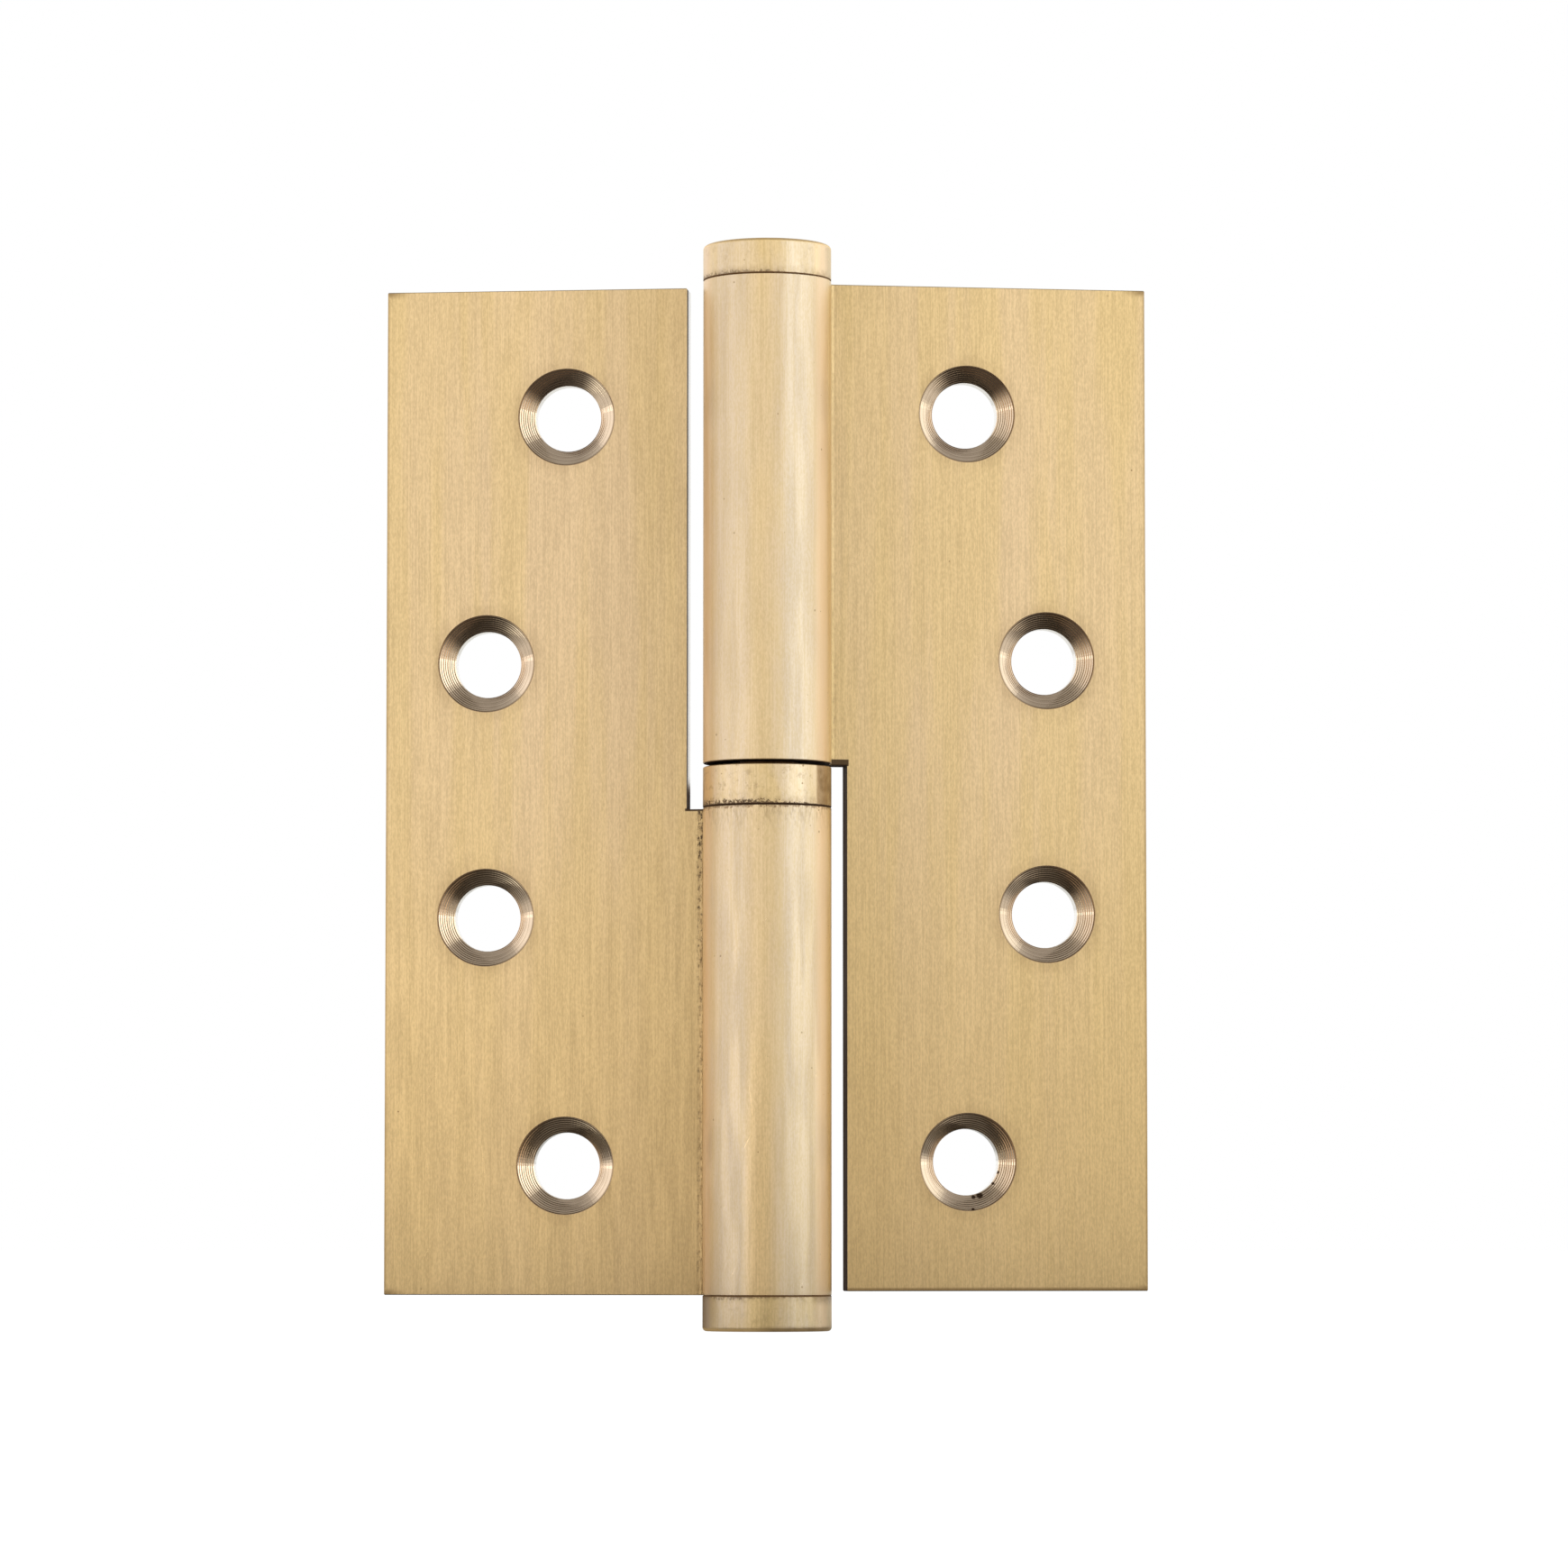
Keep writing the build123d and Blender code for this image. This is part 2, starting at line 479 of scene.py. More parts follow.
def end_in_shader(tree, inputs):
    """Ends a material in a metal shader."""
    metal = {"Metallic": 1.0, "Specular IOR Level": 0.2}
    shader = out_of(tree, "ShaderNodeBsdfPrincipled", {**metal, **inputs})
    node(tree, "ShaderNodeOutputMaterial", {"Surface": shader})


def end_in_brass(tree, metal, satin, stain_and_shade, dirt_and_shade, relief, strength, anisotropy):
    """Ends a material in brushed metal under a film of wax that stains and soiling have worn off, and that is
    thinner under painted shade too.
    """
    end_in_shader(tree, {
        "Base Color": metal, "Roughness": satin + dirt_and_shade * 0.3, "Metallic": 1.0 - dirt_and_shade * 0.8,
        "Coat Weight": 0.5 - most(dirt_and_shade, stain_and_shade) * 0.5, "Coat Roughness": 0.3,
        "Anisotropic": anisotropy, "Normal": bumped(relief, strength)})


def bumped(relief, strength):
    """Normals of a shallow relief."""
    return out_of(relief.tree, "ShaderNodeBump", {
        "Strength": strength, "Distance": 0.004 * MM, "Height": relief})


def shaded(colour, level):
    """A colour at a share of its level."""
    return tuple(channel * level for channel in colour[:3]) + (1.0,)


def place_in_mm(tree, origin, turn):
    """Object coordinates on a place of the hinge, in millimetres."""
    return out_of(tree, "ShaderNodeMapping", {
        "Vector": out_of(tree, "ShaderNodeTexCoord", socket="Object"), "Location": origin,
        "Rotation": turn, "Scale": (MM, MM, MM)}, vector_type="TEXTURE")


def grained(place, finish):
    """The brushed grain at a place."""
    return placed(place.tree, brushed_grain(), {
        "Vector": place, "Width": finish.grain_width, "Length": finish.grain_length})


def pitted(place, spacing, size, share):
    """Pits at a place, in a share of the spots they could take."""
    return placed(place.tree, speckle(), {
        "Vector": place, "Spacing": spacing, "Size": size, "Share": share})["Mask"]


def grimed(place, from_seam, reach):
    """Deposit beside a seam of the barrel."""
    return placed(place.tree, seam_grime(), {
        "Vector": place, "Distance": from_seam, "Reach": reach, "Scale": 4.4})["Mask"]


def paint_light_over(flat, painted, share, grain, barrel_masks, finish):
    """Flat metal under painted light: a paler tone painted on the barrel's front with highlight stripes, and
    lighter rose painted on its flanks.
    """
    painted = mixed(barrel_masks["Sheen"] * 0.8, painted, finish.sheen_brass)
    painted = mixed(fade(grain["Fine"], 0.0, 1.0, 0.38), painted, finish.brass)
    metal = mixed(barrel_masks["Pale"] * share, flat, painted)
    return mixed(barrel_masks["Flank"] * 0.7, metal, shaded(finish.rose_brass, 1.17))


def leaf_material(name, leaf_place, foot, crust_share, sawn_share, sizes, finish):
    """Satin brass of one leaf and knuckle, with painted light on the knuckle, and painted shade towards the foot
    and the knuckle, in the crease with browning and in the sawn notch.

    foot is 1 or -1 for the end of the place that stands lowest. The shares say how much soiling gathers by the
    ring and in the crease, and with it how deep the painted shade in the crease and towards the knuckle is, and
    how much shade is painted in the notch and how dark the foot is.
    """
    material, tree = new_material(name)
    place = place_in_mm(tree, *leaf_place)
    x, y, z = split(place)
    height = z * -foot
    from_ring, from_foot = z - ring_edge, height + leaf_end
    on_knuckle = ramp(from_ring, -0.1, 0.1)
    face = (pin_to_mounting_face - sizes.leaf_thickness) / MM
    notch, hole = sizes.notch_reach / MM, sizes.screw_hole_radius / MM
    rim = sizes.countersink_radius / MM

    grain = grained(place, finish)
    # Painted light on the barrel: a paler front, highlight stripes and lighter flanks
    barrel_masks = placed(tree, barrel_painted_light(), {"Vector": place_in_mm(tree, *pin_place), "Radius": barrel})
    off_barrel = 1.0 - barrel_masks["Barrel"]
    by_ring = fade(from_ring, 0.0, 4.5, 0.08 + 0.3 * crust_share)
    specks = pitted(place, *CLOSE_PITS, by_ring + 0.08) * barrel_masks["Barrel"] * 0.7
    pits = most(pitted(place, *SPARSE_PITS, 0.10), specks)
    hairlines = most(*(
        placed(tree, hairline(), {"Vector": place, "Angle": angle})["Mask"]
        for angle in (0.12, -0.5)))

    # Clean metal: brushed flats, rosy above, painted shade as darker, ruddier brass below, and a painted paler
    # sheen, mottled, on the knuckle
    flat = mixed(grain["Fine"], finish.brass, finish.light_brass)
    rosy = ramp(height, -35.0, 8.0, 0.0, 0.27) - ramp(height, 30.0, 50.0, 0.0, 0.1)
    rosy = rosy + ramp(x, 10.0, 14.0, 0.0, 0.16) * ramp(x, 26.0, 36.0, 1.0, 0.35)
    rosy = rosy * ramp(grain["Drift"], 0.0, 1.0, 0.6, 1.4)
    # Painted shade: darker, ruddier brass towards the foot, more of it near the knuckle
    ruddy = ramp(height, 10.0, -45.0) * ramp(x, 8.0, 26.0, 0.62, 0.5)
    for share, colour in ((rosy, finish.rose_brass), (ruddy, finish.low_brass)):
        tinted = mixed(grain["Fine"], shaded(colour, 0.87), shaded(colour, 1.13))
        flat = mixed(share, flat, tinted)
    mottle = noise(scaled(place, (0.7, 0.7, 0.13)), 1.0, 3.0, 0.6)
    painted = mixed(ramp(mottle, 0.3, 0.7, 0.1, 0.4), finish.pale_brass, finish.light_brass)
    painted = mixed(ramp(mottle, 0.5, 0.25, 0.03, 0.28), painted, finish.rose_brass)
    metal = paint_light_over(flat, painted, 1.0, grain, barrel_masks, finish)

    # Painted shade towards the knuckle and, with browning, in the crease; darker around the screws, at the foot,
    # at the outer edge and in the corners; browned in the pits
    # Painted shade towards the knuckle
    near_knuckle = fade(x, 8.0, 26.0, 0.1 + 0.08 * crust_share) * off_barrel
    from_crease = distance(joined(x, y), crease_point)
    streaks = noise(scaled(place, (5.0, 5.0, 0.9)), 1.0, 4.0, 0.7)
    # Painted shade in the crease, along with browning
    crease = fade(from_crease, 0.15, 0.7) * ramp(streaks, 0.3, 0.7, 0.35, 1.0)
    crease = crease * on_knuckle * (0.25 + 0.6 * crust_share)
    from_screw = maths("MINIMUM", *(
        distance(joined(x, abs(z)), (reach / MM, spacing / MM / 2, 0.0)) for reach, spacing in (
            (sizes.near_reach, sizes.near_spacing), (sizes.far_reach, sizes.far_spacing))))
    halo = fade(from_screw, rim - 0.05, rim + 1.75, 0.22) * ramp(grain["Broad"], 0.0, 1.0, 0.4, 1.0)
    halo = halo * fade(y, face + 0.2, face + 1.2)
    at_foot = most(fade(from_foot, 0.0, 1.2, 0.05), fade(from_foot, 0.2, 0.45, 0.75 * sawn_share))
    at_edge = ramp(x, leaf_edge - 0.3, leaf_edge, 0.0, 0.5)
    corner = ramp(x, leaf_edge - 2.8, leaf_edge - 0.1, 0.0, 0.7)
    corner = corner * ramp(abs(z), leaf_end - 0.8, leaf_end - 0.15)
    smudge = fade(from_ring, 0.0, 3.5, 0.4 * crust_share) * ramp(streaks, 0.45, 0.65)
    smudge = smudge * barrel_masks["Barrel"]
    stain_and_shade = most(crease, near_knuckle, halo, at_foot, at_edge, corner, smudge, pits * 0.8)
    metal = mixed(stain_and_shade, metal, finish.tarnish_and_shade)

    # Bare metal in the screw holes and on the sawn wall, its colour painted near white for the white it reflects
    in_bore = fade(from_screw, hole, hole + 0.1)
    in_notch = ramp(y, face, face + 0.04) * fade(x, notch + 0.04, notch + 0.09)
    bare = most(in_notch * fade(from_ring, -2.8, -1.8, 1.0 - sawn_share), in_bore)
    metal = mixed(bare, metal, finish.bright_brass)

    # Crumbs in the crease, painted shade on the notch wall and its root, most on the door leaf, a painted shadow
    # line along the notch's root, and grease with painted shade on the knuckle's end in the gap by the ring
    loose = noise(scaled(place, (4.6, 4.6, 3.0)), 1.0, 4.0, 0.75)
    loose = loose + fade(from_ring, 0.0, 7.0, 0.05 * crust_share)
    crumbs = ramp(loose, 0.52, 0.62) * fade(from_crease, 0.3, 0.65) * on_knuckle
    crumbs = crumbs * ramp(from_ring, 0.0, 24.0, 1.0, 0.45) * (0.1 + 0.8 * crust_share)
    # Painted shade on the notch wall, at its root and front arris, most on the door leaf
    root = ramp(from_ring, -3.6, -1.4, sawn_share, 1.0)
    arris = fade(y, face + 0.9, face + 1.5, 0.95)
    sawn = in_notch * most(root, arris) * fade(from_ring, 0.02, 0.1)
    # Painted shadow line along the notch's root
    line = 0.1 + 0.42 * sawn_share
    root_line = fade(from_ring, line, line + 0.1, 0.9) * ramp(from_ring, -0.1, -0.04)
    root_line = root_line * fade(x, notch + 0.05, notch + 0.25) * off_barrel
    # Grease and painted shade on the knuckle's end, in the gap by the ring
    dark_at_ring = barrel_masks["Barrel"] * fade(from_ring, 0.0, 0.02)
    crust = grimed(place, from_ring, 0.45 * crust_share) * barrel_masks["Barrel"] * (0.7 * crust_share)
    metal = mixed(crust, metal, finish.seam_brown)
    dirt_and_shade = most(crumbs, sawn, root_line, dark_at_ring)
    metal = mixed(dirt_and_shade, metal, finish.grime_and_shade)

    satin = ramp(grain["Broad"], 0.0, 1.0, 0.30, 0.40) + barrel_masks["Pale"] * 0.08
    satin = satin - hairlines * 0.12 - bare * 0.22
    relief = grain["Fine"] - pits * 2.0 - hairlines
    end_in_brass(tree, metal, satin, stain_and_shade, dirt_and_shade, relief, strength=0.25, anisotropy=0.8)
    return material


def barrel_piece_material(
        name, seam_height, seam_side, reach, seam_colour, right_darkening, left_darkening, end, finish):
    """Turned brass of the ring and the caps, with residue by its seam, one flank darker, and painted light: a
    paler front, highlight stripes and lighter flanks.

    end is the height of a cap's rounded end, or None for the ring.
    """
    material, tree = new_material(name)
    place = place_in_mm(tree, *pin_place)
    x, _, z = split(place)
    is_ring = end is None
    grain = grained(place, finish)
    barrel_masks = placed(tree, barrel_painted_light(), {"Vector": place, "Radius": barrel})
    from_seam = (z - seam_height / MM) * seam_side
    near_seam = fade(from_seam, 0.0, 2.2 * reach)
    pits = pitted(place, *CLOSE_PITS, near_seam * 0.2 + (0.18 if is_ring else 0.06))

    # Clean metal, under a painted paler front, highlight stripes and lighter flanks
    mottle = ramp(noise(scaled(place, (0.7, 0.7, 0.25)), 1.0), 0.35, 0.65)
    flat = mixed(grain["Fine"], finish.brass, finish.light_brass)
    painted = mixed(mottle * 0.6, finish.pale_brass, finish.light_brass)
    metal = paint_light_over(flat, painted, 0.9, grain, barrel_masks, finish)
    satin = ramp(grain["Broad"], 0.0, 1.0, 0.30, 0.42)

    # Darker on a flank, and browned by the seam, in blotches and in the pits
    smoke = ramp(noise(place, 0.9, 3.0, 0.6), 0.3, 0.7, 0.75, 1.05)
    cloud = noise(place, 1.3, 4.0, 0.7)
    right = ramp(x, 5.15, 5.4, 0.0, right_darkening) * smoke
    left = maths("POWER", fade(x, -barrel, -3.6), 2.0) * left_darkening
    blotch = ramp(cloud, 0.52, 0.72, 0.0, 0.4 if is_ring else 0.2)
    by_seam = near_seam * ramp(cloud, 0.4, 0.65, 0.1, 0.5)
    stain_and_shade = most(right, left, blotch, by_seam, pits * 0.75)
    metal = mixed(stain_and_shade, metal, finish.tarnish_and_shade)
    if not is_ring:
        # On a cap: a paler colour painted on its rounded end as a highlight, and darker on the right, by its end
        # and beside the seam
        from_end = abs(z - end / MM)
        at_end = fade(from_end, 0.15, 0.45)
        smudge = fade(from_end, 0.25, 0.7) * ramp(x, -1.5, 1.5)
        corner = fade(from_seam, 0.0, 1.2) * ramp(x, 4.6, 5.8)
        metal = mixed(at_end * 0.7, metal, shaded(finish.light_brass, 1.3))
        metal = mixed(most(smudge, corner) * smoke * (0.6 * left_darkening), metal, finish.tarnish_and_shade)
        satin = satin + at_end * 0.25

    # Dirt: crumbs beside the seam, heavier on the left, the seam itself and grease inside
    left_heavy = ramp(x, -2.0, 5.5, 1.0, 0.3) * reach
    crust = grimed(place, from_seam, left_heavy) * (0.85 if is_ring else 0.5)
    crumbs = mixed(ramp(noise(place, 4.0), 0.4, 0.6, 0.1, 0.8), finish.grime_and_shade, finish.seam_brown)
    in_seam = fade(from_seam, 0.05 + 0.04 * reach, 0.1 + 0.08 * reach)
    inside = fade(distance(scaled(place, ACROSS_PIN)), barrel - 0.19, barrel - 0.13)
    dark_at_ring = inside * fade(abs(z), ring_edge + 0.2, ring_edge + 0.5)
    for share, colour in ((crust, crumbs), (in_seam, seam_colour), (dark_at_ring, finish.grime_and_shade)):
        metal = mixed(share, metal, colour)
    dirt_and_shade = most(crust, dark_at_ring, in_seam, left * 0.6)
    relief = grain["Fine"] - pits * 2.0
    end_in_brass(tree, metal, satin, stain_and_shade, dirt_and_shade, relief, strength=0.2, anisotropy=0.7)
    return material


def countersink_material(name, leaf_place, up, crumb_places, finish):
    """Cut brass with the rings of the countersinking tool, painted shade on its upper side, and crumbs at (x, z,
    reach) of the leaf.

    up is 1 or -1 for the way that the place's z stands.
    """
    material, tree = new_material(name)
    place = place_in_mm(tree, *leaf_place)
    along, upward, outward = (
        out_of(tree, "ShaderNodeAttribute", socket="Fac", attribute_name=stored)
        for stored in ("profile", "upward", "outward"))
    rings = ramp(out_of(tree, "ShaderNodeTexNoise", {
        "W": along, "Scale": 13.0, "Detail": 3.0, "Roughness": 0.7}, "Fac", noise_dimensions="1D"),
        0.3, 0.7)
    metal = mixed(ramp(rings, 0.0, 1.0, 0.0, 0.40), finish.cut_brass, finish.tarnish_and_shade)
    metal = mixed(ramp(noise(place, 0.35, 3.0), 0.45, 0.75, 0.0, 0.2), metal, finish.tarnish_and_shade)
    metal = mixed(fade(along, 0.10, 0.17, 0.75), metal, finish.tarnish_and_shade)

    # Painted shade on the upper side, deeper in the higher holes
    share = ramp(split(place)[2] * up, -40.0, 40.0, 0.62, 0.95)
    leaning = upward * (0.96 * up) + outward * 0.23
    metal = mixed(ramp(leaning, 0.5, 0.82, 0.0, share), metal, finish.upper_shade_brass)
    ragged = noise(place, 3.0, 3.0, 0.7) * 0.7
    for x, z, reach in crumb_places:
        off = distance(scaled(place, (1.0, 0.0, 1.0)), (x, 0.0, z)) / reach
        metal = mixed(fade(off + ragged, 0.75, 1.0, 0.95), metal, finish.grime_and_shade)
    end_in_shader(tree, {"Base Color": metal, "Roughness": ramp(rings, 0.0, 1.0, 0.07, 0.15)})
    return material


def steel_material(name, finish):
    """Ground steel of the pin, with fine rings around it and grease by the bearing ring."""
    material, tree = new_material(name)
    place = place_in_mm(tree, *pin_place)
    rings = noise(scaled(place, (0.4, 0.4, 9.0)), 1.0, 3.0, 0.6)
    grey = mixed(ramp(rings, 0.3, 0.7), finish.steel, finish.dark_steel)
    smear = noise(place, 0.6, 3.0) * 6.0
    dark_at_ring = fade(abs(split(place)[2]) + smear, 6.0, 9.0)
    end_in_shader(tree, {
        "Base Color": mixed(dark_at_ring, grey, finish.grime_and_shade),
        "Roughness": ramp(rings, 0.3, 0.7, 0.2, 0.34), "Normal": bumped(rings, 0.2)})
    return material


def dress(name, material):
    """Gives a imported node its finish."""
    for slot in frame["nodes"][name].material_slots:
        slot.material = material


@node_group("Turn Profile", "GeometryNodeTree", {"Profile": "Geometry", "Segments": "Int"},
            {"Mesh": "Geometry"})
def turn_profile(given):
    """Geometry Nodes: turns a profile of (radius, 0, height) points about z into a closed mesh."""
    tree = given["Profile"].tree
    count = out_of(tree, "GeometryNodeAttributeDomainSize", {0: given["Profile"]}, component="MESH")
    around = given["Segments"] + 1.0
    mesh = out_of(tree, "GeometryNodeMeshGrid", {"Vertices X": count, "Vertices Y": around}, "Mesh")
    index = out_of(tree, "GeometryNodeInputIndex")
    row = maths("FLOOR", (index + 0.5) / around)
    angle = (index - row * around) / given["Segments"] * FULL_TURN
    point = out_of(tree, "GeometryNodeSampleIndex", {
        "Geometry": given["Profile"], "Value": out_of(tree, "GeometryNodeInputPosition"),
        "Index": row}, data_type="FLOAT_VECTOR", domain="POINT")
    turned = out_of(tree, "ShaderNodeVectorRotate", {"Vector": point, "Angle": angle},
                    rotation_type="Z_AXIS")

    # What the finish reads: the share of the profile, and which way each point faces
    stored = {"profile": row / (count - 1.0), "upward": maths("SINE", angle),
              "outward": maths("COSINE", angle)}
    for name, value in stored.items():
        mesh = out_of(tree, "GeometryNodeStoreNamedAttribute", {
            "Geometry": mesh, "Name": name, "Value": value}, data_type="FLOAT", domain="POINT")
    mesh = out_of(tree, "GeometryNodeSetPosition", {"Geometry": mesh, "Position": turned})
    mesh = out_of(tree, "GeometryNodeMergeByDistance", {"Geometry": mesh, "Distance": 0.0002 * MM})
    fold = out_of(tree, "GeometryNodeInputMeshEdgeAngle")
    smooth = maths("LESS_THAN", fold, SMOOTH_BELOW)
    return {"Mesh": out_of(tree, "GeometryNodeSetShadeSmooth", {
        "Geometry": mesh, "Shade Smooth": smooth}, domain="EDGE")}


def moved_and_finished(geometry, given, inputs):
    """The end of a tree: its geometry moved, made real and given its material."""
    tree = geometry.tree
    moved = out_of(tree, "GeometryNodeTransform", {
        "Geometry": geometry, "Translation": given["Axis"], **inputs})
    whole = out_of(tree, "GeometryNodeRealizeInstances", {"Geometry": moved})
    return {"Geometry": out_of(tree, "GeometryNodeSetMaterial", {
        "Geometry": whole, "Material": given["Material"]})}


@node_group("Turned Piece", "GeometryNodeTree",
            {"Geometry": "Geometry", "Segments": "Int", "Axis": "Vector", "Material": "Material"},
            {"Geometry": "Geometry"})
def turned_piece(given):
    """Geometry Nodes: one turned piece on the pin axis."""
    turned = placed(given["Geometry"].tree, turn_profile(), {
        "Profile": given["Geometry"], "Segments": given["Segments"]})["Mesh"]
    return moved_and_finished(turned, given, {})


@node_group("Countersink Row", "GeometryNodeTree",
            {"Geometry": "Geometry", "Segments": "Int", "Near Reach": "Float", "Far Reach": "Float",
             "Near Spacing": "Float", "Far Spacing": "Float", "Axis": "Vector", "Turn": "Vector",
             "Material": "Material"},
            {"Geometry": "Geometry"})
def countersink_row(given):
    """Geometry Nodes: a turned countersink at each place of a leaf's zigzag of four screws."""
    tree = given["Geometry"].tree
    turned = placed(tree, turn_profile(), {
        "Profile": given["Geometry"], "Segments": given["Segments"]})["Mesh"]

    # Screws 0 and 3 are near the knuckle, 1 and 2 far from it
    from_middle = out_of(tree, "GeometryNodeInputIndex") - 1.5
    outer = maths("GREATER_THAN", abs(from_middle), 1.0)
    reach, spacing = (
        out_of(tree, "ShaderNodeMix", {0: outer, 2: given["Far " + size], 3: given["Near " + size]})
        for size in ("Reach", "Spacing"))
    points = out_of(tree, "GeometryNodePoints", {
        "Count": 4, "Position": joined(reach, 0.0, spacing * maths("SIGN", from_middle) * 0.5)})
    holes = out_of(tree, "GeometryNodeInstanceOnPoints", {
        "Points": points, "Instance": turned, "Rotation": (math.radians(90), 0.0, 0.0)})
    return moved_and_finished(holes, given, {"Rotation": given["Turn"]})


def profile_mesh(name, points):
    """A polyline of (radius, height) points in the xz plane."""
    mesh = bpy.data.meshes.new(name)
    mesh.from_pydata([(radius, 0.0, height) for radius, height in points], [
        (i, i + 1) for i in range(len(points) - 1)], [])
    return mesh


def made_by_nodes(name, group, points, inputs):
    """A plain mesh object from a profile and a Geometry Nodes tree with its inputs set."""
    source = bpy.data.objects.new(name + "_profile", profile_mesh(name + "_profile", points))
    bpy.context.scene.collection.objects.link(source)
    modifier = source.modifiers.new("Nodes", "NODES")
    modifier.node_group = group
    identifiers = {
        item.name: item.identifier for item in group.interface.items_tree
        if item.item_type == "SOCKET" and item.in_out == "INPUT"}
    for label, value in inputs.items():
        modifier[identifiers[label]] = value
    bpy.context.view_layer.update()
    evaluated = source.evaluated_get(bpy.context.evaluated_depsgraph_get())
    mesh = bpy.data.meshes.new_from_object(evaluated)
    source.modifiers.remove(modifier)
    bpy.data.objects.remove(source)
    mesh.name = name
    shell = bmesh.new()
    shell.from_mesh(mesh)
    bmesh.ops.recalc_face_normals(shell, faces=shell.faces)
    if any(not edge.is_manifold for edge in shell.edges):
        raise RuntimeError(f"{name} isn't closed")
    shell.to_mesh(mesh)
    shell.free()
    piece = bpy.data.objects.new(name, mesh)
    bpy.context.scene.collection.objects.link(piece)
    return piece


def rounded_edge(centre, radius, steps=10):
    """Points of (radius, height) on a quarter round, from the side to the end."""
    angles = [math.radians(90 * i / steps) for i in range(steps + 1)]
    return [(centre[0] + radius * math.cos(a), centre[1] + radius * math.sin(a)) for a in angles]


def tool_marks(start, end, sizes, normal, points_each=4):
    """Points from start to end with a shallow groove at every pitch, along a normal."""
    run = Vector(end) - Vector(start)
    marks = max(1, round(run.length / sizes.turning_pitch))
    steps = marks * points_each
    points = []
    for i in range(steps + 1):
        share = i / steps
        depth = sizes.turning_depth * 0.5 * (1 - math.cos(FULL_TURN * marks * share))
        point = Vector(start) + run * share - Vector(normal) * depth
        points.append((point.x, point.y))
    return points


def cap_points(sizes, seat, outward, top, stem_radius):
    """Profile of a button cap: stem tip, stem, underside, side, rounded edge and faced end."""
    chamfer, lead, edge = sizes.seam_chamfer, sizes.stem_chamfer, sizes.cap_edge_radius
    tip = -sizes.cap_stem_length
    plain_rim, plain_middle = barrel_radius - edge - 0.1 * MM, 0.3 * MM
    outline = [(0.0, tip), (stem_radius - lead, tip), (stem_radius, tip + lead), (stem_radius, 0.0),
               (barrel_radius - chamfer, 0.0), (barrel_radius, chamfer)]
    outline += rounded_edge((barrel_radius - edge, top - edge), edge)
    outline += tool_marks((plain_rim, top), (plain_middle, top), sizes, (0.0, 1.0))
    outline += [(0.0, top)]
    return [(radius, seat + outward * height) for radius, height in outline]


def ring_points(sizes):
    """Closed profile of the bearing ring."""
    chamfer, bore = sizes.seam_chamfer, sizes.pin_radius + sizes.running_clearance
    low, high = ring_low.z, ring_high.z
    outline = [(bore, low), (barrel_radius - chamfer, low), (barrel_radius, low + chamfer),
               (barrel_radius, high - chamfer), (barrel_radius - chamfer, high), (bore, high)]
    return outline + outline[:1]


def countersink_points(sizes):
    """Closed profile of a cut countersink, measured forward from the pin.

    The rim stands just proud of the leaf's face, and the cone is closed in the metal.
    """
    face = -(pin_to_mounting_face - sizes.leaf_thickness)
    skin, rim, hole = sizes.skin, sizes.countersink_radius, sizes.screw_hole_radius
    lip = face + 0.004 * MM
    cone_top = (rim - skin * math.sqrt(2), face)
    cone_end = (hole, face - (cone_top[0] - hole))
    outline = [(rim + skin, face - skin), (rim + 0.5 * skin, lip), (rim - 0.5 * skin, lip)]
    outline += tool_marks(cone_top, cone_end, sizes, (-math.sqrt(0.5), math.sqrt(0.5)))
    outline += [(hole + 0.5 * skin, cone_end[1] - 3 * skin)]
    return outline + outline[:1]


class HINGE_OT_dress_leaves(bpy.types.Operator):
    """Brushes both leaves in satin brass"""
    bl_idname = "hinge.dress_leaves"
    bl_label = "Dress Leaves"

    def execute(self, context):
        sizes, finish = context.scene.hinge_sizes, context.scene.brass_finish
        dress("lower_leaf", leaf_material(
            "frame_leaf_brass", frame_place, foot=1.0, crust_share=1.0, sawn_share=0.1,
            sizes=sizes, finish=finish))
        dress("upper_leaf", leaf_material(
            "door_leaf_brass", door_place, foot=-1.0, crust_share=0.15, sawn_share=1.0,
            sizes=sizes, finish=finish))
        return {"FINISHED"}


class HINGE_OT_cut_countersinks(bpy.types.Operator):
    """Cuts the turned countersinks of both leaves"""
    bl_idname = "hinge.cut_countersinks"
    bl_label = "Cut Countersinks"

    def execute(self, context):
        sizes, finish = context.scene.hinge_sizes, context.scene.brass_finish
        across, down = sizes.near_reach / MM, -sizes.near_spacing / MM / 2
        crumbs = [(across + x, down + z, reach) for x, z, reach in crumb_offsets]
        rows = (("frame_countersinks", "frame_leaf", frame_place, -1.0, ()),
                ("door_countersinks", "door_leaf", door_place, 1.0, crumbs))
        for name, body, place, up, crumb_places in rows:
            axis, turn = place
            material = countersink_material(name + "_brass", place, up, crumb_places, finish)
            row = made_by_nodes(name, countersink_row(), countersink_points(sizes), {
                "Segments": sizes.countersink_segments,
                "Near Reach": sizes.near_reach, "Far Reach": sizes.far_reach,
                "Near Spacing": sizes.near_spacing, "Far Spacing": sizes.far_spacing,
                "Axis": axis, "Turn": turn, "Material": material})
            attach(row, body)
        return {"FINISHED"}


